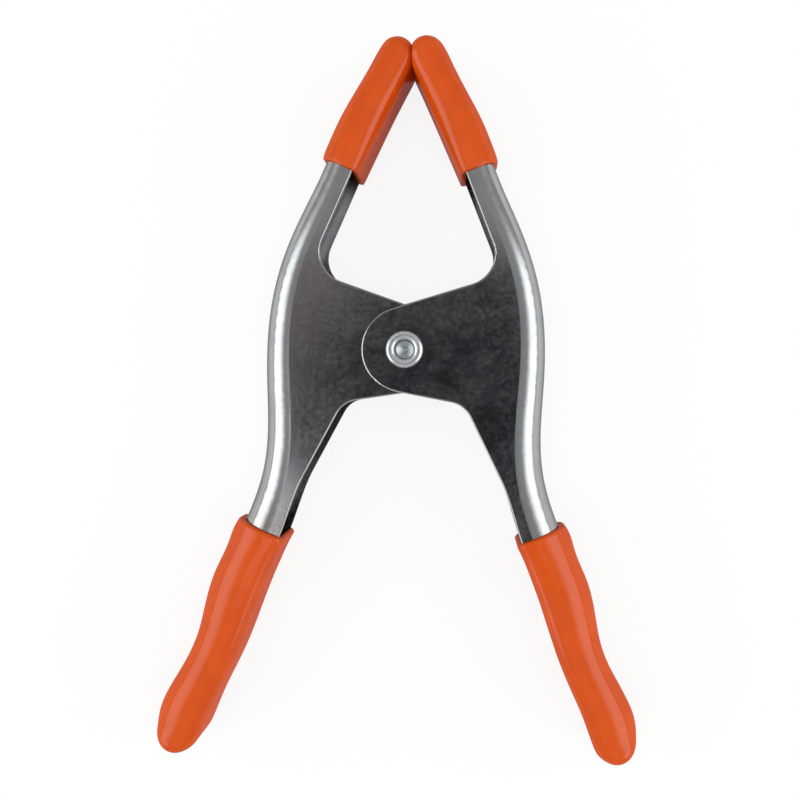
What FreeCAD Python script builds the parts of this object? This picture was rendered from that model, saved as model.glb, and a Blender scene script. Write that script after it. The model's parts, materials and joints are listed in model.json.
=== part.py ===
import FreeCAD, Part
import math
import os

V = FreeCAD.Vector

# A hand spring clamp of the nine by six inch size, lying on its side with the jaws closed.
# While the pieces are made, the rivet's axis is Z through the origin, +Y points to the jaw tips
# and z = 0 is midway between the two outer ears. Everything is drawn for the right lever, and the
# left lever is the same set turned over about the Y axis.

# Stamped levers, in mm
sheet = 1.6
channel_depth = 24.0
jaw_bend_radius = 6.6
grip_bend_radius = 10.0
edge_rounding = 0.5
ear_radius = 13.4
ear_clearance = 0.1
throat_corner = (30.6, 24.2)
throat_radius = 9.8
crotch_corner = (18.9, -16.8)
crotch_radius = 7.9
handle_bend = (30.7, -39.9)

# Jaw arm: where its sleeve begins, its lean from the Y axis, its length beyond that point, and
# how far out its back stands, at shares of that length
jaw_foot = (15.7, 54.5)
jaw_lean = 23.9
jaw_length = 40.8
jaw_back = [(0.0, 11.7), (0.184, 12.25), (0.392, 12.0), (0.613, 11.0), (0.797, 10.45)]
jaw_end_back = 10.0
jaw_end_front = 3.3

# Back of the lever between the two sleeves
back_points = [(35.35, 39.3), (41.0, 23.6), (43.85, 6.0), (44.0, -10.0), (43.4, -26.0), (44.65, -39.3)]

# Handle: where its grip begins, its lean, its length beyond that point, and its back and its
# front at shares of that length
handle_foot = (36.0, -60.1)
handle_lean = 21.5
handle_length = 69.4
handle_back = [
    (0.0, 14.7), (0.137, 15.1), (0.295, 15.4), (0.447, 14.05),
    (0.598, 12.4), (0.742, 13.3), (0.872, 14.4),
]
handle_end_back = 13.6
handle_front = [(0.0, 1.9), (0.324, 2.5), (0.598, 2.0), (0.8, 2.8)]
handle_end_front = 2.7

# Vinyl sleeves: walls on the back and the sides, walls on the inner side, limits of the corners'
# rounding as shares of the sleeve's width and half depth, lips and ends
tip_wall = 1.5
pad_wall_root = 1.7
pad_wall_end = 3.6
grip_wall = 1.9
grip_front_wall = 1.8
widest_front_rounding = 0.44
widest_roundings = 0.95
deepest_rounding = 0.9
tip_lip_rounding = 0.6
grip_lip_rounding = 1.1
tip_end_wall = 4.0
tip_dome = 6.0
grip_end_wall = 6.0
grip_dome = 8.5
side_dome = 4.0
sleeve_fit = 0.05
flat_trim = 0.03
closed_gap = 0.2

# Rounding of the sleeves' inner corners at shares of their lengths, which gives the tips' wavy ridge
tip_front_rounding = [(0.0, 3.4), (0.16, 3.9), (0.36, 5.0), (0.5, 5.4), (0.7, 4.6), (1.0, 4.2)]
grip_front_rounding = [(0.0, 3.2), (0.3, 4.2), (0.6, 4.4), (1.0, 4.5)]

# Semi-tubular rivet
rivet_radius = 4.0
rivet_fit = 0.05
head_overhang = 2.2
head_height = 1.5
head_dome = 0.6
ear_play = 0.05

# Rolled-over end of the rivet, from its mouth over the crest to its root: out from the shank's
# side and up from the ear; below the mouth the hollow narrows to a cone
curl_profile = [
    (-0.95, 0.17), (-0.63, 1.27), (0.35, 1.7), (1.43, 1.36),
    (1.75, 0.65), (1.67, 0.27), (1.4, 0.0),
]
hollow_narrowing = 0.35
hollow_side = 2.5
hollow_depth = 4.5

# Torsion spring round the rivet, one leg bearing on the back of each handle channel
wire_radius = 1.55
coil_slack = 1.6
coil_gap = 0.45
full_turns = 4
leg_drop = 40.0
leg_bend_radius = 8.0
leg_ease_radius = 30.0
leg_foot = 10.0
leg_gap = 0.4

# Larger than the whole clamp, for the blocks that trim it, and how near two points count as one
far = 400.0
same_place = 0.01

coil_radius = rivet_radius + wire_radius + coil_slack
half_depth = channel_depth / 2
stagger = sheet + ear_clearance
ear_face = half_depth + stagger / 2


def jaw_point(along, out, z=0.0):
    """A point of the right jaw arm: along it from the sleeve's mouth, and out towards its back."""
    lean = math.radians(jaw_lean)
    x = jaw_foot[0] - along * math.sin(lean) + out * math.cos(lean)
    y = jaw_foot[1] + along * math.cos(lean) + out * math.sin(lean)
    return V(x, y, z)


def handle_point(along, out, z=0.0):
    """A point of the right handle: along it from the grip's mouth, and out towards its back."""
    lean = math.radians(handle_lean)
    x = handle_foot[0] + along * math.sin(lean) + out * math.cos(lean)
    y = handle_foot[1] - along * math.cos(lean) + out * math.sin(lean)
    return V(x, y, z)


def spaced(stations, length):
    """Stations given at shares of a length, as distances along it."""
    return [(share * length, out) for share, out in stations]


def back_curve(grow=0.0):
    """The back of the lever in plan, from the jaw's end to the handle's end, grown by a clearance."""
    points = [jaw_point(jaw_length + grow, jaw_end_back + grow)]
    points += [jaw_point(along, out + grow) for along, out in reversed(spaced(jaw_back, jaw_length))]
    points += [V(x + grow, y, 0) for x, y in back_points]
    points += [handle_point(along, out + grow) for along, out in spaced(handle_back, handle_length)]
    points.append(handle_point(handle_length + grow, handle_end_back + grow))
    curve = Part.BSplineCurve()
    curve.interpolate(points)
    return curve


def handle_inside(grow=0.0):
    """The open side of the handle in plan, from its bend to its end, grown by a clearance."""
    run = [V(handle_bend[0] - grow, handle_bend[1], 0)]
    run += [handle_point(along, out - grow) for along, out in spaced(handle_front, handle_length)]
    run.append(handle_point(handle_length + grow, handle_end_front - grow))
    crotch = V(crotch_corner[0] - grow, crotch_corner[1], 0)
    start_run = (run[0] - crotch).normalize()
    end_run = (run[-1] - run[-2]).normalize()
    curve = Part.BSplineCurve()
    curve.interpolate(Points=run, InitialTangent=start_run, FinalTangent=end_run)
    return curve


def curve_beside(curve, distance, samples=60):
    """The curve that runs beside another in plan, towards its right hand side as it is walked."""
    first, last = curve.FirstParameter, curve.LastParameter
    points = []
    for step in range(samples + 1):
        at = first + (last - first) * step / samples
        run = curve.tangent(at)[0]
        points.append(curve.value(at) + V(run.y, -run.x, 0) * distance)
    beside = Part.BSplineCurve()
    beside.interpolate(points)
    return beside


def line(start, end):
    return Part.LineSegment(start, end).toShape()


def arc(start, middle, end):
    return Part.Arc(start, middle, end).toShape()


def corner_arc(before, corner, after, radius):
    """Start, middle and end of the round of a given radius in the corner between two lines."""
    to_before = (before - corner).normalize()
    to_after = (after - corner).normalize()
    half_angle = to_before.getAngle(to_after) / 2
    reach = radius / math.tan(half_angle)
    inward = (to_before + to_after).normalize()
    centre = corner + inward * (radius / math.sin(half_angle))
    return corner + to_before * reach, centre - inward * radius, corner + to_after * reach


def ear_touch(corner, side):
    """Where a line from the corner touches the ear's circle, above (side 1) or below (side -1)."""
    away = math.atan2(corner.y, corner.x)
    turn = math.acos(ear_radius / math.hypot(corner.x, corner.y))
    angle = away + side * turn
    return V(ear_radius * math.cos(angle), ear_radius * math.sin(angle), 0)


def front_edges():
    """The open side of the lever in plan, from the handle's end round the ear to the jaw's end."""
    bend = V(handle_bend[0], handle_bend[1], 0)
    crotch = V(crotch_corner[0], crotch_corner[1], 0)
    throat = V(throat_corner[0], throat_corner[1], 0)
    jaw_end = jaw_point(jaw_length, jaw_end_front)
    ear_top = ear_touch(throat, 1)
    ear_bottom = ear_touch(crotch, -1)
    crotch_from, crotch_mid, crotch_to = corner_arc(bend, crotch, ear_bottom, crotch_radius)
    throat_from, throat_mid, throat_to = corner_arc(ear_top, throat, jaw_end, throat_radius)
    return [
        handle_inside().toShape(),
        line(bend, crotch_from),
        arc(crotch_from, crotch_mid, crotch_to),
        line(crotch_to, ear_bottom),
        arc(ear_bottom, V(-ear_radius, 0, 0), ear_top),
        line(ear_top, throat_from),
        arc(throat_from, throat_mid, throat_to),
        line(throat_to, jaw_end),
    ]


def lever_plan():
    """The whole outline of the lever as a face at z = 0."""
    back = back_curve()
    jaw_end = line(jaw_point(jaw_length, jaw_end_front), jaw_point(jaw_length, jaw_end_back))
    end_corner = handle_point(handle_length, handle_end_front)
    handle_end = line(handle_point(handle_length, handle_end_back), end_corner)
    wire = Part.Wire(Part.__sortEdges__([back.toShape(), handle_end] + front_edges() + [jaw_end]))
    return Part.Face(wire)


def joins(edge, start, end, height):
    """Whether an edge runs between two plan points at one height."""
    ends = [vertex.Point for vertex in edge.Vertexes]
    if len(ends) != 2:
        return False
    wanted = [V(start.x, start.y, height), V(end.x, end.y, height)]
    straight = ends[0].distanceToPoint(wanted[0]) + ends[1].distanceToPoint(wanted[1])
    crossed = ends[0].distanceToPoint(wanted[1]) + ends[1].distanceToPoint(wanted[0])
    return min(straight, crossed) < same_place


def bend_radius(share):
    """Radius of the bend between web and flange, which grows from the jaw's end to the handle's."""
    return jaw_bend_radius + (grip_bend_radius - jaw_bend_radius) * share


def share_of_back(point):
    """How far down the lever's back a point lies, from 0 at the jaw's end to 1 at the handle's."""
    back = back_curve()
    first, last = back.FirstParameter, back.LastParameter
    return (back.parameter(V(point.x, point.y, 0)) - first) / (last - first)


def block(plan, half, grow, start, end):
    """A plan face given depth, with its two long back edges rounded as the bend, grown by a clearance."""
    flat = plan.copy()
    flat.translate(V(0, 0, -half))
    solid = flat.extrude(V(0, 0, 2 * half))
    for height in (half, -half):
        edge = [e for e in solid.Edges if joins(e, start, end, height)][0]
        radii = [bend_radius(0) + grow, bend_radius(1) + grow]
        if edge.Vertexes[0].Point.y < edge.Vertexes[-1].Point.y:
            radii.reverse()
        solid = solid.makeFillet(radii[0], radii[1], [edge])
    return solid


def lever_block():
    """The lever's outer shape as one solid block."""
    start = jaw_point(jaw_length, jaw_end_back)
    end = handle_point(handle_length, handle_end_back)
    return block(lever_plan(), half_depth, 0, start, end)


def sleeve_cavity():
    """The space that the two arms take up inside their sleeves, with the fit's clearance."""
    fit = sleeve_fit
    start = jaw_point(jaw_length + fit, jaw_end_back + fit)
    end = handle_point(handle_length + fit, handle_end_back + fit)
    jaw_front_end = jaw_point(jaw_length + fit, jaw_end_front - fit)
    throat = V(throat_corner[0] - fit, throat_corner[1], 0)
    bend = V(handle_bend[0] - fit, handle_bend[1], 0)
    handle_front_end = handle_point(handle_length + fit, handle_end_front - fit)
    edges = [
        back_curve(fit).toShape(),
        line(end, handle_front_end),
        handle_inside(fit).toShape(),
        line(bend, throat),
        line(throat, jaw_front_end),
        line(jaw_front_end, start),
    ]
    plan = Part.Face(Part.Wire(Part.__sortEdges__(edges)))
    return block(plan, half_depth + fit, fit, start, end)


def channel_inside():
    """The space between the lever's flanges, open on its inner side and at both ends."""
    inner = curve_beside(back_curve(), sheet)
    first, last = inner.FirstParameter, inner.LastParameter
    top, bottom = inner.value(first), inner.value(last)
    beyond_top = top - inner.tangent(first)[0] * (2 * sheet)
    beyond_bottom = bottom + inner.tangent(last)[0] * (2 * sheet)
    far_side = -2 * ear_radius
    far_bottom, far_top = V(far_side, beyond_bottom.y, 0), V(far_side, beyond_top.y, 0)
    corners = [bottom, beyond_bottom, far_bottom, far_top, beyond_top, top]
    edges = [inner.toShape()] + [line(a, b) for a, b in zip(corners, corners[1:])]
    plan = Part.Face(Part.Wire(Part.__sortEdges__(edges)))
    return block(plan, half_depth - sheet, -sheet, top, bottom)


def rolled_edges(solid):
    """The outer edges of the two flanges along the open side, which the stamping leaves round."""
    rims = []
    for edge in front_edges():
        ends = [vertex.Point for vertex in edge.Vertexes]
        for height in (half_depth, -half_depth):
            rims += [e for e in solid.Edges if joins(e, ends[0], ends[1], height)]
    return rims


def lever():
    """One stamped steel lever: web, two flanges, ears and rivet hole."""
    outer = lever_block()
    outer = outer.makeFillet(edge_rounding, rolled_edges(outer))
    hole = Part.makeCylinder(rivet_radius + rivet_fit, 2 * channel_depth, V(0, 0, -channel_depth))
    return outer.cut(channel_inside()).cut(hole)


def section(place, along, front, back, half, back_rounding, front_rounding):
    """One closed section of a sleeve across its arm: four straights and four rounded corners."""
    width = back - front
    small = min(front_rounding, widest_front_rounding * width, deepest_rounding * half)
    big = min(back_rounding, widest_roundings * width - small, deepest_rounding * half)
    corners = [
        (front, -half, small, 1, 1),
        (back, -half, big, -1, 1),
        (back, half, big, -1, -1),
        (front, half, small, 1, -1),
    ]
    rounds = []
    for out, z, radius, side, rise in corners:
        lag = radius * (1 - math.sqrt(0.5))
        along_side = place(along, out + side * radius, z)
        middle = place(along, out + side * lag, z + rise * lag)
        up_side = place(along, out, z + rise * radius)
        order = [up_side, middle, along_side] if side * rise > 0 else [along_side, middle, up_side]
        rounds.append(order)
    edges = []
    for index, this in enumerate(rounds):
        following = rounds[(index + 1) % len(rounds)]
        edges.append(arc(*this))
        edges.append(line(this[2], following[0]))
    return Part.Wire(edges)


def dome_fall(left, dome):
    """How far a domed end has drawn in where `left` of its length remains."""
    if left >= dome:
        return 0.0
    return dome - math.sqrt(dome * dome - (dome - left) ** 2)


def sleeve_body(place, length, dome, front_of, back_of, front_rounding_of, half, wall):
    """The outside of a sleeve, lofted along its arm and drawn in to a dome at its end."""
    straight_steps = 7
    dome_angles = (20, 38, 54, 67, 77, 84)
    runs = [(length - dome) * step / straight_steps for step in range(straight_steps + 1)]
    runs += [length - dome + dome * math.sin(math.radians(angle)) for angle in dome_angles]
    wires = []
    for along in runs:
        left = length - along
        front, back = front_of(along), back_of(along)
        share = 1 - dome_fall(left, dome) / dome
        middle = (front + back) / 2
        reach = (back - front) / 2 * share
        depth = half - dome_fall(left, side_dome)
        back_rounding = bend_radius(share_of_back(place(along, back))) + wall
        front_rounding = front_rounding_of(along)
        front, back = middle - reach, middle + reach
        wires.append(section(place, along, front, back, depth, back_rounding, front_rounding))
    return Part.makeLoft(wires, True, False)


def reading(stations):
    """A smooth function through (along, out) stations, held straight beyond the last two."""
    curve = Part.BSplineCurve()
    curve.interpolate([V(along, out, 0) for along, out in stations])

    def value(along):
        if along >= stations[-1][0]:
            (a0, b0), (a1, b1) = stations[-2], stations[-1]
            return b1 + (along - a1) * (b1 - b0) / (a1 - a0)
        crossing = curve.intersectCC(Part.LineSegment(V(along, -far, 0), V(along, far, 0)))
        return crossing[0].Y if crossing else stations[0][1]

    return value


def trim_sides(solid, half):
    """Press the two sides of a sleeve truly flat."""
    kept = half - flat_trim
    slab = Part.makeBox(2 * far, 2 * far, 2 * kept, V(-far, -far, -kept))
    return solid.common(slab)


def round_lip(solid, place, rounding):
    """Round the outer edge of a sleeve's open end."""
    lip = [edge for edge in solid.Edges if at_mouth(place, edge)]
    return solid.makeFillet(rounding, lip)


def distance_along(place, point):
    """How far along an arm a point lies, from the mouth of its sleeve."""
    origin = place(0, 0)
    run = (place(1, 0) - origin).normalize()
    return (V(point.x, point.y, 0) - origin).dot(run)


def at_mouth(place, edge):
    """Whether an edge lies wholly in the open end of a sleeve."""
    points = [edge.CenterOfMass] + [vertex.Point for vertex in edge.Vertexes]
    return all(abs(distance_along(place, point)) < same_place for point in points)


def jaw_tip(cavity):
    """Vinyl sleeve on the jaw arm, with its flat gripping face."""
    length = jaw_length + tip_end_wall
    steel_back = reading(spaced(jaw_back, jaw_length) + [(jaw_length, jaw_end_back)])
    steel_front_root = front_at_jaw_foot()
    lean_in = (jaw_end_front - steel_front_root) / jaw_length

    def front(along):
        steel = steel_front_root + lean_in * along
        pad = pad_wall_root + (pad_wall_end - pad_wall_root) * along / jaw_length
        return steel - pad

    def back(along):
        return steel_back(along) + tip_wall

    half = half_depth + tip_wall
    front_rounding = reading(spaced(tip_front_rounding, length))
    body = sleeve_body(jaw_point, length, tip_dome, front, back, front_rounding, half, tip_wall)
    body = trim_sides(body, half)
    body = round_lip(body, jaw_point, tip_lip_rounding)
    own_side = Part.makeBox(far, 2 * far, 2 * far, V(closed_gap / 2, -far, -far))
    return body.common(own_side).cut(cavity)


def front_at_jaw_foot():
    """How far the jaw arm's open side stands out at the sleeve's mouth."""
    throat = V(throat_corner[0], throat_corner[1], 0)
    end = jaw_point(jaw_length, jaw_end_front)
    run = (jaw_point(0, 1) - jaw_point(0, 0)).normalize()
    forward = (jaw_point(1, 0) - jaw_point(0, 0)).normalize()
    share = (V(jaw_foot[0], jaw_foot[1], 0) - throat).dot(forward) / (end - throat).dot(forward)
    crossing = throat + (end - throat) * share
    return (crossing - V(jaw_foot[0], jaw_foot[1], 0)).dot(run)


def handle_grip(cavity):
    """Vinyl sleeve on the handle."""
    length = handle_length + grip_end_wall
    steel_back = reading(spaced(handle_back, handle_length) + [(handle_length, handle_end_back)])
    steel_front = reading(spaced(handle_front, handle_length) + [(handle_length, handle_end_front)])

    def front(along):
        return steel_front(along) - grip_front_wall

    def back(along):
        return steel_back(along) + grip_wall

    half = half_depth + grip_wall
    front_rounding = reading(spaced(grip_front_rounding, length))
    body = sleeve_body(handle_point, length, grip_dome, front, back, front_rounding, half, grip_wall)
    body = trim_sides(body, half)
    body = round_lip(body, handle_point, grip_lip_rounding)
    return body.cut(cavity)


def rivet():
    """Semi-tubular rivet: flat domed head below, rolled-over tube end on top."""
    low = -ear_face - ear_play
    high = ear_face + ear_play
    head_radius = rivet_radius + head_overhang
    head_bottom = low - head_height
    dome = (head_radius ** 2 + head_dome ** 2) / (2 * head_dome)
    half_angle = math.asin(head_radius / dome) / 2
    head_edge = V(head_radius, 0, head_bottom + head_dome)
    head_mid = V(dome * math.sin(half_angle), 0, head_bottom + dome * (1 - math.cos(half_angle)))
    head_foot = V(0, 0, head_bottom)
    curl = [V(rivet_radius + out, 0, high + up) for out, up in curl_profile]
    mouth, root = curl[0], curl[-1]
    floor_edge = V(mouth.x - hollow_narrowing, 0, high - hollow_side)
    floor = V(0, 0, high - hollow_depth)
    shank_top, shank_bottom = V(rivet_radius, 0, high), V(rivet_radius, 0, low)
    head_top = V(head_radius, 0, low)
    straights = [floor, floor_edge, mouth]
    edges = [line(a, b) for a, b in zip(straights, straights[1:])]
    edges += [arc(*curl[start:start + 3]) for start in (0, 2, 4)]
    straights = [root, shank_top, shank_bottom, head_top, head_edge]
    edges += [line(a, b) for a, b in zip(straights, straights[1:])]
    edges.append(arc(head_edge, head_mid, head_foot))
    edges.append(line(head_foot, floor))
    profile = Part.Face(Part.Wire(edges))
    return profile.revolve(V(0, 0, 0), V(0, 0, 1), 360)


def biarc(start, start_run, end, end_run):
    """Two arcs that join two points of a coil smoothly, each leaving along the coil."""
    chord = end - start
    runs = start_run + end_run
    slack = 2 * (1 - start_run.dot(end_run))
    along = chord.dot(runs)
    reach = (-along + math.sqrt(along * along + slack * chord.dot(chord))) / slack
    join = (start + end + (start_run - end_run) * reach) * 0.5
    return [tangent_arc(start, start_run, join), tangent_arc(end, end_run * -1, join)], join


def tangent_arc(start, run, end):
    """The arc from one point to another that leaves along a given direction."""
    length = (end - start).Length
    ahead = (end - start).normalize()
    side = (run - ahead * run.dot(ahead)).normalize()
    half_turn = math.acos(max(-1.0, min(1.0, run.dot(ahead))))
    middle = (start + end) * 0.5 + side * (length / 2 * math.tan(half_turn / 2))
    return start, middle, end


def coil_point(angle, start_angle, pitch, half_rise):
    """Point and direction of the coil, which turns clockwise as it climbs."""
    turned = start_angle - angle
    z = -half_rise + pitch * turned / (2 * math.pi)
    point = V(coil_radius * math.cos(angle), coil_radius * math.sin(angle), z)
    run = V(math.sin(angle), -math.cos(angle), pitch / (2 * math.pi * coil_radius)).normalize()
    return point, run


def spring_path():
    """The spring's centre line: left leg, coil and right leg, with points for the gap test."""
    pitch = 2 * wire_radius + coil_gap
    drop = math.radians(leg_drop)
    start_angle = math.pi / 2 + drop
    end_angle = math.pi / 2 - drop - 2 * math.pi * full_turns
    sweep = start_angle - end_angle
    half_rise = pitch * sweep / (4 * math.pi)
    quarters = math.ceil(sweep / (math.pi / 2))
    edges = []
    marks = []
    for step in range(quarters):
        from_angle = start_angle - sweep * step / quarters
        to_angle = start_angle - sweep * (step + 1) / quarters
        start, start_run = coil_point(from_angle, start_angle, pitch, half_rise)
        end, end_run = coil_point(to_angle, start_angle, pitch, half_rise)
        (first, second), join = biarc(start, start_run, end, end_run)
        edges.append(arc(*first))
        edges.append(arc(join, second[1], end))
        marks += [start, first[1], join, second[1]]
    right_end, right_run = coil_point(end_angle, start_angle, pitch, half_rise)
    right = leg_edges(right_end, right_run)
    left = [edge.copy() for edge in right]
    for edge in left:
        edge.rotate(V(0, 0, 0), V(0, 1, 0), 180)
    return left, edges, right, marks


def leg_edges(start, run):
    """The right leg: it levels out of the coil, runs to the channel's back and lies down along it."""
    level = V(run.x, run.y, 0).normalize()
    slope = math.asin(run.z)
    rise = leg_ease_radius * (1 - math.cos(slope))
    eased = start + level * (leg_ease_radius * math.sin(slope)) + V(0, 0, rise)
    ease = arc(*tangent_arc(start, run, eased))
    bearing = V(back_points[-1][0], back_points[-1][1], 0)
    bend = bend_radius(share_of_back(bearing))
    beside_back = curve_beside(back_curve(), leg_standoff(eased.z - stagger / 2, bend))
    target = beside_back.toShape()
    target.translate(V(0, 0, eased.z))
    hit = line(eased, eased + level * 2 * channel_depth).distToShape(target)[1][0][0]
    down = foot_run(beside_back, hit)
    bend_from, bend_mid, bend_to = corner_arc(eased, hit, hit + down, leg_bend_radius)
    foot = line(bend_to, bend_to + down * leg_foot)
    return [ease, line(eased, bend_from), arc(bend_from, bend_mid, bend_to), foot]


def leg_standoff(height, bend):
    """How far inside the lever's back the wire lies when it bears on the channel's rounded corner."""
    room = bend - sheet - wire_radius - leg_gap
    into_corner = max(0.0, height - (half_depth - bend))
    return bend - math.sqrt(room ** 2 - into_corner ** 2)


def foot_run(inner, hit):
    """The direction down the channel's back from where the leg meets it to where the leg ends."""
    at = inner.value(inner.parameter(V(hit.x, hit.y, 0)))
    ahead = inner.value(inner.parameter(V(hit.x, hit.y - leg_foot, 0)))
    return (ahead - at).normalize()


def torsion_spring():
    """One unbroken wire: leg, coil, leg."""
    left, coil, right, marks = spring_path()
    path = Part.Wire(Part.__sortEdges__(left + coil + right))
    tip = right[-1].Vertexes[-1].Point
    back = (right[-1].Vertexes[0].Point - tip).normalize()
    ring = Part.Wire(Part.Circle(tip, back, wire_radius).toShape())
    solid = path.makePipeShell([ring], True, False)
    length = path.Length
    expected = math.pi * wire_radius ** 2 * length
    share = solid.Volume / expected
    print("spring: wire length", round(length, 2), "volume over expected", round(share, 4))
    print("spring: least gap between turns", round(least_gap(marks), 3))
    return solid


def least_gap(marks):
    """The least gap between one turn and the next, measured on points of the centre line."""
    over_half_a_turn = len(marks) // (2 * full_turns) + 1
    gaps = []
    for index, one in enumerate(marks):
        for other in marks[index + over_half_a_turn:]:
            gaps.append(one.distanceToPoint(other) - 2 * wire_radius)
    return min(gaps)


def build():
    """All pieces in the working frame, by name."""
    steel = lever()
    cavity = sleeve_cavity()
    pieces = {"arm": steel, "jaw_tip": jaw_tip(cavity), "handle_grip": handle_grip(cavity)}
    parts = {}
    for name, shape in pieces.items():
        right = shape.Solids[0].copy()
        right.translate(V(0, 0, stagger / 2))
        left = right.copy()
        left.rotate(V(0, 0, 0), V(0, 1, 0), 180)
        parts["right_" + name] = right
        parts["left_" + name] = left
    parts["pivot_rivet"] = rivet()
    parts["torsion_spring"] = torsion_spring()
    return parts


def seat(parts):
    """Move the clamp so that the origin is under its middle, on the surface that it lies on."""
    box = FreeCAD.BoundBox()
    for shape in parts.values():
        box.add(shape.optimalBoundingBox(False, False))
    shift = V(-box.Center.x, -box.Center.y, -box.ZMin)
    for shape in parts.values():
        shape.translate(shift)
    print("overall", round(box.XLength, 2), round(box.YLength, 2), round(box.ZLength, 2))
    print("rivet axis at", round(shift.x, 4), round(shift.y, 4), "mid height", round(shift.z, 4))


def main():
    os.makedirs("parts", exist_ok=True)
    parts = build()
    seat(parts)
    for name, shape in sorted(parts.items()):
        print(name, shape.ShapeType, len(shape.Solids), shape.isValid(), round(shape.Volume, 1))
        shape.exportStep("parts/" + name + ".step")


main()
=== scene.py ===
import json
import math

import bpy
from mathutils import Matrix, Vector


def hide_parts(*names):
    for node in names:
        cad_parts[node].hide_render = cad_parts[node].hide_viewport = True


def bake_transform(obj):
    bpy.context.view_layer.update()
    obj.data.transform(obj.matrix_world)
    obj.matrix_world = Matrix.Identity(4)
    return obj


bl_info = {
    "name": "Spring Clamp",
    "version": (1, 0, 0),
    "blender": (4, 5, 0),
    "location": "3D View > Sidebar > Spring Clamp",
    "description": "Dresses a sleeved steel spring clamp and sets up its studio",
    "category": "Object",
}

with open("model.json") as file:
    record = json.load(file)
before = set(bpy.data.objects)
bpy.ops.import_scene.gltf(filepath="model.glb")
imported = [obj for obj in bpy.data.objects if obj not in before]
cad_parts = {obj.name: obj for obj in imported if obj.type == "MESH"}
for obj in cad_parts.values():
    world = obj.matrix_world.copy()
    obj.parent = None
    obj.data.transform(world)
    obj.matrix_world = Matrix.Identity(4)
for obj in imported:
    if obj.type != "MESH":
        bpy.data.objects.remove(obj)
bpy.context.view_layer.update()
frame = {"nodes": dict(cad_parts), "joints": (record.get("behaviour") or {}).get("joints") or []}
nodes = frame["nodes"]
hinge = Vector(frame["joints"][0]["pos_m"])
arms = ("left_arm", "right_arm")
sleeves = ("left_jaw_tip", "right_jaw_tip", "left_handle_grip", "right_handle_grip")

# Steel: where in the noise each mark begins and is full, and how much of it shows
dull_range = (0.42, 0.66)
stain_range = (0.5, 0.72)
most_dull = 0.6
most_stain = 0.6
haze_range = (0.8, 1.25)
blur_range = (0.7, 1.35)
film_blur = 0.08
clouds_to_patches = 2.6
patches_to_speckles = 9
mark_size = 0.012
speckle_to_scratch = 0.1
edge_tint = 0.35
lever_grain = (30, 1, 30)
rivet_grain = (1, 1, 12)
wire_grain = (1, 1, 1)
rivet_more_blur = 0.09
rivet_more_haze = 0.12

# Vinyl: where in the waves the deeper colour begins and is full, and how strongly its skin mirrors
deep_range = (0.35, 0.68)
skin_ior = 3

# Card over the clamp, seen only in reflections, whose tones are painted reflections in the flats: size and
# place, and where its tones begin and are full, in metres from its middle.
# The warm side and the glowing pale corner, both painted reflections, run slantwise: a line's slant is how
# much of y it adds to x.
card_size = (0.7, 0.5)
card_place = (-0.01, -0.03, 0.62)
warm_reflection_slant = -0.6
warm_reflection_range = (-0.127, -0.147)
pale_reflection_slant = 0.8
pale_reflection_range = (-0.145, -0.176)
painted_glow_range = (-0.16, -0.178)
painted_corner_glow = 0.35
left_fade = (-0.145, -0.27)
right_fade = (0.125, 0.165)
low_fade = (-0.12, -0.16)
high_fade = (0.125, 0.165)

# Paper and lamps, in metres; a lamp's fades are the shares of its face that they take
paper_size = 6
matt = 0.9
lamp_colour = (0.95, 1.0, 0.99)
side_lamp_out = 0.785
side_lamp_along = -0.15
side_lamp_up = 0.45
side_lamp_size = (1.375, 0.93)
end_fade = 0.2
foot_fade = 0.22
top_fade = 0.45
fill_lamp_up = 1.2
fill_lamp_size = (1.0, 1.0)

# Camera: shift of the clamp in the frame, nearest thing it sees in metres, and film width in millimetres
frame_shift = (-0.085, -0.02125)
nearest = 0.01
film_width = 36


def colour_setting(name, description, default):
    return bpy.props.FloatVectorProperty(
        name=name, description=description, default=default, size=3, min=0.0, max=1.0, subtype="COLOR"
    )


def share_setting(name, description, default):
    return bpy.props.FloatProperty(
        name=name, description=description, default=default, min=0.0, max=1.0, subtype="FACTOR"
    )


def length_setting(name, description, default):
    return bpy.props.FloatProperty(
        name=name, description=description, default=default, subtype="DISTANCE", unit="LENGTH", precision=5
    )


def power_setting(name, description, default):
    return bpy.props.FloatProperty(
        name=name, description=description, default=default, min=0.0, subtype="POWER", unit="POWER"
    )


class PlatedSteelSettings(bpy.types.PropertyGroup):
    """Finish of the two stamped levers, the rivet and the spring"""

    plate: colour_setting("Plate", "Colour of clean plating", (0.46, 0.465, 0.475))
    dull: colour_setting("Dull patches", "Colour where the plating has gone dull", (0.39, 0.39, 0.405))
    stain: colour_setting("Stain", "Brown tint left by handling", (0.40, 0.36, 0.33))
    rivet: colour_setting("Rivet", "Colour of the rivet's matt plating", (0.72, 0.745, 0.76))
    wire: colour_setting("Spring wire", "Colour of the drawn wire", (0.30, 0.30, 0.31))
    roughness: share_setting("Roughness", "How blurred the plating's reflections are", 0.13)
    haze: share_setting("Haze", "Most that the dull film scatters", 0.035)
    patch_size: length_setting("Patch size", "Width of the dull patches", 0.011)
    scratch_depth: length_setting("Scratch depth", "Depth of the fine rolling marks", 0.000005)


class VinylSettings(bpy.types.PropertyGroup):
    """Finish of the dipped sleeves on the jaws and handles"""

    colour: colour_setting("Vinyl", "Main colour of the sleeves", (0.62, 0.074, 0.004))
    deep: colour_setting("Deep vinyl", "Colour where the coat is thicker", (0.58, 0.066, 0.0035))
    gloss: share_setting("Gloss", "How much of the skin shines", 0.12)
    roughness: share_setting("Roughness", "How blurred the sleeves' highlights are", 0.12)
    ripple_size: length_setting("Ripple size", "Width of the slow waves left by dipping", 0.009)
    ripple_depth: length_setting("Ripple depth", "Height of the slow waves", 0.00005)
    peel_size: length_setting("Peel size", "Width of the fine dimples", 0.0007)
    peel_depth: length_setting("Peel depth", "Depth of the fine dimples", 0.000006)


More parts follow.
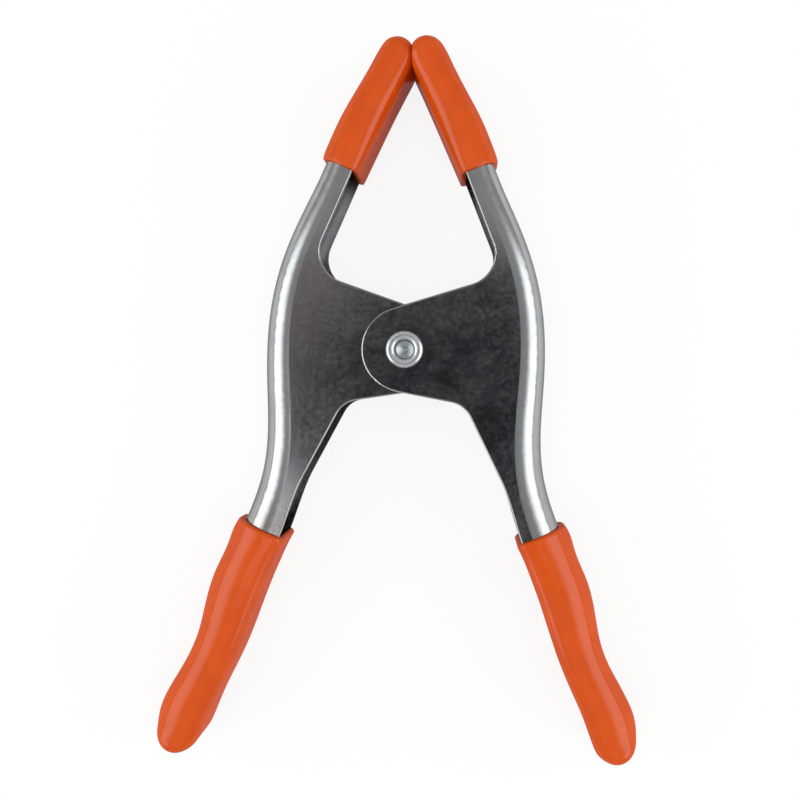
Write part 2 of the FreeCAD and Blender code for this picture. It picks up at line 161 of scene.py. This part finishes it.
class StudioSettings(bpy.types.PropertyGroup):
    """Camera, floor and lights"""

    lens: bpy.props.FloatProperty(
        name="Lens", description="Focal length of the camera", default=50.2, unit="CAMERA"
    )
    roll: bpy.props.FloatProperty(
        name="Roll", description="Turn of the clamp in the frame", default=math.radians(1.36),
        subtype="ANGLE"
    )
    height: length_setting("Camera height", "Camera above the floor", 0.3732)
    aside: length_setting("Camera aside", "Camera to the right of the rivet", 0.0197)
    below: length_setting("Camera below", "Camera below the rivet in the frame", 0.0104)
    floor: colour_setting("Floor", "Colour of the paper that the clamp lies on", (0.86, 0.86, 0.86))
    glow: share_setting("Paper glow", "How much of the paper's white stays where the clamp shades it", 0.86)
    world: share_setting("World light", "Strength of the even light from all round", 0.42)
    side_power: power_setting("Side lamps", "Power of each of the two side lamps", 8.6)
    fill_power: power_setting("Fill lamp", "Power of the lamp overhead", 6.5)
    # The card's colours are painted reflections: the flats mirror its dark middle, warm left side and pale
    # lower left corner.
    card_dark: colour_setting("Card", "Colour that the flats mirror", (0.008, 0.009, 0.014))
    painted_warm_reflection: colour_setting("Warm side", "Colour of the card's left side", (0.2, 0.162, 0.15))
    painted_pale_reflection: colour_setting("Pale corner", "Colour of the card's lower left corner", (0.8, 0.8, 0.82))


def material(name):
    """New material, its node tree and its main shader"""
    made = bpy.data.materials.new(name)
    made.use_nodes = True
    tree = made.node_tree
    return made, tree, tree.nodes["Principled BSDF"]


def stretched(tree, scale):
    """Object coordinates in metres, stretched by a scale for each axis"""
    place = tree.nodes.new("ShaderNodeTexCoord")
    mapping = tree.nodes.new("ShaderNodeMapping")
    mapping.inputs["Scale"].default_value = scale
    tree.links.new(place.outputs["Object"], mapping.inputs["Vector"])
    return mapping.outputs["Vector"]


def noise(tree, vector, size, detail=4.0, roughness=0.5, distortion=0.0):
    """Soft noise whose blots are about as wide as the size"""
    made = tree.nodes.new("ShaderNodeTexNoise")
    made.inputs["Scale"].default_value = 1 / size
    made.inputs["Detail"].default_value = detail
    made.inputs["Roughness"].default_value = roughness
    made.inputs["Distortion"].default_value = distortion
    tree.links.new(vector, made.inputs["Vector"])
    return made.outputs["Fac"]


def spread(tree, value, low, high, to_low=0.0, to_high=1.0):
    """Smooth step of a value between two limits"""
    made = tree.nodes.new("ShaderNodeMapRange")
    made.interpolation_type = "SMOOTHSTEP"
    made.inputs["From Min"].default_value = low
    made.inputs["From Max"].default_value = high
    made.inputs["To Min"].default_value = to_low
    made.inputs["To Max"].default_value = to_high
    tree.links.new(value, made.inputs["Value"])
    return made.outputs["Result"]


def mixed(tree, share, first, second):
    """Mix of two colours, each a socket or three numbers"""
    made = tree.nodes.new("ShaderNodeMix")
    made.data_type = "RGBA"
    tree.links.new(share, made.inputs["Factor"])
    for socket, value in ((made.inputs[6], first), (made.inputs[7], second)):
        if isinstance(value, bpy.types.NodeSocket):
            tree.links.new(value, socket)
        else:
            socket.default_value = (*value, 1)
    return made.outputs[2]


def mixed_shaders(tree, share, first, second):
    """Show a mix of two shaders' outputs as the surface"""
    made = tree.nodes.new("ShaderNodeMixShader")
    tree.links.new(share, made.inputs["Fac"])
    tree.links.new(first, made.inputs[1])
    tree.links.new(second, made.inputs[2])
    tree.links.new(made.outputs["Shader"], tree.nodes["Material Output"].inputs["Surface"])


def added(tree, first, second, share=1.0):
    """The first value plus a share of the second"""
    made = tree.nodes.new("ShaderNodeMath")
    made.operation = "MULTIPLY_ADD"
    tree.links.new(second, made.inputs[0])
    made.inputs[1].default_value = share
    tree.links.new(first, made.inputs[2])
    return made.outputs["Value"]


def joined(tree, operation, first, *others):
    """One value from several, by an operation such as MULTIPLY or MAXIMUM"""
    for other in others:
        made = tree.nodes.new("ShaderNodeMath")
        made.operation = operation
        tree.links.new(first, made.inputs[0])
        tree.links.new(other, made.inputs[1])
        first = made.outputs["Value"]
    return first


def bump(tree, height, depth, below=None):
    """Normal of a surface that rises by a depth, on top of another bump"""
    made = tree.nodes.new("ShaderNodeBump")
    made.inputs["Distance"].default_value = depth
    tree.links.new(height, made.inputs["Height"])
    if below:
        tree.links.new(below, made.inputs["Normal"])
    return made.outputs["Normal"]


def plated_steel(name, clean, dull, stain, settings, grain, more_blur=0.0, more_haze=0.0):
    """Bright plating under a thin dull film, with a little brown stain and fine marks along the grain"""
    made, tree, shader = material(name)
    place = stretched(tree, (1, 1, 1))
    cloud_size = settings.patch_size * clouds_to_patches
    speckle_size = settings.patch_size / patches_to_speckles
    patches = noise(tree, place, settings.patch_size, detail=8.0, roughness=0.62, distortion=0.4)
    clouds = noise(tree, place, cloud_size, detail=3.0, roughness=0.5)
    speckles = noise(tree, place, speckle_size, detail=5.0, roughness=0.65)
    marks = noise(tree, stretched(tree, grain), mark_size, detail=4.0, roughness=0.7)
    colour = mixed(tree, spread(tree, patches, *dull_range, 0.0, most_dull), clean, dull)
    colour = mixed(tree, spread(tree, clouds, *stain_range, 0.0, most_stain), colour, stain)
    tree.links.new(colour, shader.inputs["Base Color"])
    film = added(tree, patches, speckles)
    bare = 1.0 - more_haze
    metal = spread(tree, film, *haze_range, bare, bare - settings.haze)
    tree.links.new(metal, shader.inputs["Metallic"])
    smooth = settings.roughness + more_blur
    rough = spread(tree, film, *blur_range, smooth, smooth + film_blur)
    tree.links.new(rough, shader.inputs["Roughness"])
    shader.inputs["Specular Tint"].default_value = (edge_tint, edge_tint, edge_tint, 1)
    normal = bump(tree, marks, settings.scratch_depth)
    normal = bump(tree, speckles, settings.scratch_depth * speckle_to_scratch, normal)
    tree.links.new(normal, shader.inputs["Normal"])
    return made


def dipped_vinyl(name, settings):
    """Glossy dipped vinyl with slow waves and a fine peel"""
    made, tree, shader = material(name)
    place = stretched(tree, (1, 1, 1))
    waves = noise(tree, place, settings.ripple_size, detail=2.0, roughness=0.4)
    peel = noise(tree, place, settings.peel_size, detail=2.0, roughness=0.5)
    colour = mixed(tree, spread(tree, waves, *deep_range), settings.colour, settings.deep)
    tree.links.new(colour, shader.inputs["Base Color"])
    shader.inputs["Specular IOR Level"].default_value = 0
    shader.inputs["Coat Weight"].default_value = settings.gloss
    shader.inputs["Coat IOR"].default_value = skin_ior
    shader.inputs["Coat Roughness"].default_value = settings.roughness
    normal = bump(tree, waves, settings.ripple_depth)
    normal = bump(tree, peel, settings.peel_depth, normal)
    tree.links.new(normal, shader.inputs["Normal"])
    return made


def dress(name, finish):
    """Give a CAD node its finish in every slot"""
    piece = nodes[name]
    if not piece.data.materials:
        piece.data.materials.append(finish)
    for slot in range(len(piece.data.materials)):
        piece.data.materials[slot] = finish


class CLAMP_OT_levers(bpy.types.Operator):
    """Give the two stamped levers their bright plating"""

    bl_idname = "clamp.levers"
    bl_label = "Plate the Levers"

    def execute(self, context):
        steel = context.scene.clamp_steel
        finish = plated_steel("lever plating", steel.plate, steel.dull, steel.stain, steel, lever_grain)
        for name in arms:
            dress(name, finish)
        return {"FINISHED"}


class CLAMP_OT_sleeves(bpy.types.Operator):
    """Give the jaw tips and the handle grips their vinyl"""

    bl_idname = "clamp.sleeves"
    bl_label = "Coat the Sleeves"

    def execute(self, context):
        finish = dipped_vinyl("orange vinyl", context.scene.clamp_vinyl)
        for name in sleeves:
            dress(name, finish)
        return {"FINISHED"}


class CLAMP_OT_rivet(bpy.types.Operator):
    """Give the rivet its plating"""

    bl_idname = "clamp.rivet"
    bl_label = "Plate the Rivet"

    def execute(self, context):
        steel = context.scene.clamp_steel
        finish = plated_steel(
            "rivet plating", steel.rivet, steel.rivet, steel.plate, steel, rivet_grain,
            rivet_more_blur, rivet_more_haze
        )
        dress("pivot_rivet", finish)
        return {"FINISHED"}


class CLAMP_OT_spring(bpy.types.Operator):
    """Make a copy of the spring in the wire finish, in place of the CAD spring"""

    bl_idname = "clamp.spring"
    bl_label = "Make the Spring"

    def execute(self, context):
        steel = context.scene.clamp_steel
        mesh = nodes["torsion_spring"].data.copy()
        spring = bpy.data.objects.new("wound_spring", mesh)
        context.scene.collection.objects.link(spring)
        finish = plated_steel("spring wire", steel.wire, steel.wire, steel.dull, steel, wire_grain)
        mesh.materials.clear()
        mesh.materials.append(finish)
        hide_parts("torsion_spring")
        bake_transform(spring)
        return {"FINISHED"}


def painted_reflection_card(name, dark, warm, pale):
    """Dark card over the clamp, seen only in reflections, that fades out at its edges, with a warm side and
    a glowing pale corner: painted reflections in the flats
    """
    made, tree, shader = material(name)
    place = tree.nodes.new("ShaderNodeTexCoord")
    parts = tree.nodes.new("ShaderNodeSeparateXYZ")
    tree.links.new(place.outputs["Object"], parts.inputs["Vector"])
    x, y = parts.outputs["X"], parts.outputs["Y"]
    # Painted reflection: a warm left side that the flats mirror as a brownish tone.
    side = spread(tree, added(tree, x, y, warm_reflection_slant), *warm_reflection_range)
    slant = added(tree, x, y, pale_reflection_slant)
    # Painted reflection: a pale lower left corner that the flats mirror.
    corner = spread(tree, slant, *pale_reflection_range)
    shade = mixed(tree, corner, mixed(tree, side, dark, warm), pale)
    tree.links.new(shade, shader.inputs["Base Color"])
    shader.inputs["Roughness"].default_value = matt
    shader.inputs["Emission Color"].default_value = (1, 1, 1, 1)
    # Painted light: the pale corner also glows, though it is no lamp, and shows only in the flats'
    # reflections.
    glow = spread(tree, slant, *painted_glow_range, 0.0, painted_corner_glow)
    tree.links.new(glow, shader.inputs["Emission Strength"])
    edges = [spread(tree, x, *left_fade), spread(tree, x, *right_fade)]
    edges += [spread(tree, y, *low_fade), spread(tree, y, *high_fade)]
    clear = tree.nodes.new("ShaderNodeBsdfTransparent")
    mixed_shaders(tree, joined(tree, "MAXIMUM", *edges), shader.outputs["BSDF"], clear.outputs["BSDF"])
    return made


def lit_paper(name, colour, glow):
    """Paper that keeps most of its white to the eye, in mirrors and through glass, and a soft shadow"""
    made, tree, shader = material(name)
    shader.inputs["Base Color"].default_value = (*colour, 1)
    shader.inputs["Roughness"].default_value = matt
    path = tree.nodes.new("ShaderNodeLightPath")
    white = tree.nodes.new("ShaderNodeEmission")
    seen = added(tree, path.outputs["Is Camera Ray"], path.outputs["Is Glossy Ray"])
    seen = added(tree, seen, path.outputs["Is Transmission Ray"])
    share = tree.nodes.new("ShaderNodeMath")
    share.operation = "MULTIPLY"
    share.inputs[1].default_value = glow
    tree.links.new(seen, share.inputs[0])
    mixed_shaders(tree, share.outputs["Value"], shader.outputs["BSDF"], white.outputs["Emission"])
    return made


def flat_panel(name, width, depth, place):
    """Level rectangle of the studio, with its middle at the place"""
    x, y = width / 2, depth / 2
    mesh = bpy.data.meshes.new(name)
    mesh.from_pydata([(-x, -y, 0), (x, -y, 0), (x, y, 0), (-x, y, 0)], [], [(0, 1, 2, 3)])
    panel = bpy.data.objects.new(name, mesh)
    panel.location = place
    bpy.context.scene.collection.objects.link(panel)
    return panel


def soft_box(name, place, target, width, depth, power):
    """Rectangular lamp at a place that looks at a target"""
    lamp = bpy.data.lights.new(name, "AREA")
    lamp.shape = "RECTANGLE"
    lamp.size = width
    lamp.size_y = depth
    lamp.energy = power
    lamp.color = lamp_colour
    box = bpy.data.objects.new(name, lamp)
    box.location = place
    box.rotation_euler = (Vector(target) - Vector(place)).to_track_quat("-Z", "Y").to_euler()
    bpy.context.scene.collection.objects.link(box)
    return box


def fade_edges(box, ends, low, high):
    """Let a soft box fade over a share of its length at both ends, and of its depth low down and high up"""
    box.data.use_nodes = True
    tree = box.data.node_tree
    spot = tree.nodes.new("ShaderNodeNewGeometry")
    parts = tree.nodes.new("ShaderNodeSeparateXYZ")
    tree.links.new(spot.outputs["Parametric"], parts.inputs["Vector"])
    along, upward = parts.outputs["X"], parts.outputs["Y"]
    levels = [spread(tree, upward, 0, low), spread(tree, upward, 1, 1 - high)]
    levels += [spread(tree, along, 0, ends), spread(tree, along, 1, 1 - ends)]
    tree.links.new(joined(tree, "MULTIPLY", *levels), tree.nodes["Emission"].inputs["Strength"])


class CLAMP_OT_studio(bpy.types.Operator):
    """Lay the paper, set the lights and place the camera over the clamp"""

    bl_idname = "clamp.studio"
    bl_label = "Set Up the Studio"

    def execute(self, context):
        studio = context.scene.clamp_studio
        scene = context.scene
        floor = flat_panel("paper", paper_size, paper_size, (0, 0, 0))
        floor.data.materials.append(lit_paper("white paper", studio.floor, studio.glow))
        # Painted reflection: the card is seen only in mirrors, where its dark middle, warm side and glowing
        # pale corner stand in for what the flats reflect.
        overhead = flat_panel("dark_card", *card_size, card_place)
        card = painted_reflection_card("dark card", studio.card_dark, studio.painted_warm_reflection, studio.painted_pale_reflection)
        overhead.data.materials.append(card)
        overhead.visible_diffuse = False
        overhead.visible_shadow = False
        overhead.visible_camera = False
        for side in (-1, 1):
            place = (side * side_lamp_out, side_lamp_along, side_lamp_up)
            target = (0, side_lamp_along, 0)
            box = soft_box("side light", place, target, *side_lamp_size, studio.side_power)
            fade_edges(box, end_fade, foot_fade, top_fade)
        fill = soft_box("fill light", (0, 0, fill_lamp_up), (0, 0, 0), *fill_lamp_size, studio.fill_power)
        fill.visible_glossy = False
        world = bpy.data.worlds.new("studio")
        scene.world = world
        world.use_nodes = True
        back = world.node_tree.nodes["Background"]
        back.inputs["Color"].default_value = (1, 1, 1, 1)
        back.inputs["Strength"].default_value = studio.world
        across = Vector((math.cos(studio.roll), math.sin(studio.roll), 0))
        up = Vector((-math.sin(studio.roll), math.cos(studio.roll), 0))
        place = Vector((hinge.x, hinge.y, studio.height)) + across * studio.aside - up * studio.below
        camera = bpy.data.objects.new("camera", bpy.data.cameras.new("camera"))
        camera.data.lens = studio.lens
        camera.data.sensor_width = film_width
        camera.data.shift_x, camera.data.shift_y = frame_shift
        camera.data.clip_start = nearest
        camera.matrix_world = Matrix.Translation(place) @ Matrix.Rotation(studio.roll, 4, "Z")
        scene.collection.objects.link(camera)
        scene.camera = camera
        scene.view_settings.view_transform = "Standard"
        return {"FINISHED"}


class CLAMP_PT_panel(bpy.types.Panel):
    """Steps of the spring clamp in order"""

    bl_idname = "CLAMP_PT_panel"
    bl_label = "Spring Clamp"
    bl_space_type = "VIEW_3D"
    bl_region_type = "UI"
    bl_category = "Spring Clamp"

    def draw(self, context):
        column = self.layout.column()
        for step in steps:
            column.operator(step.bl_idname)
        for group in groups:
            settings = getattr(context.scene, group)
            for name in settings.__annotations__:
                column.prop(settings, name)


steps = (CLAMP_OT_levers, CLAMP_OT_sleeves, CLAMP_OT_rivet, CLAMP_OT_spring, CLAMP_OT_studio)
groups = {"clamp_steel": PlatedSteelSettings, "clamp_vinyl": VinylSettings, "clamp_studio": StudioSettings}


def register():
    for kind in (*groups.values(), *steps, CLAMP_PT_panel):
        bpy.utils.register_class(kind)
    for name, kind in groups.items():
        setattr(bpy.types.Scene, name, bpy.props.PointerProperty(type=kind))


def unregister():
    for name in groups:
        delattr(bpy.types.Scene, name)
    for kind in reversed((*groups.values(), *steps, CLAMP_PT_panel)):
        bpy.utils.unregister_class(kind)


def main():
    register()
    bpy.ops.clamp.levers()
    bpy.ops.clamp.sleeves()
    bpy.ops.clamp.rivet()
    bpy.ops.clamp.spring()
    bpy.ops.clamp.studio()


if __name__ == "__main__":
    main()
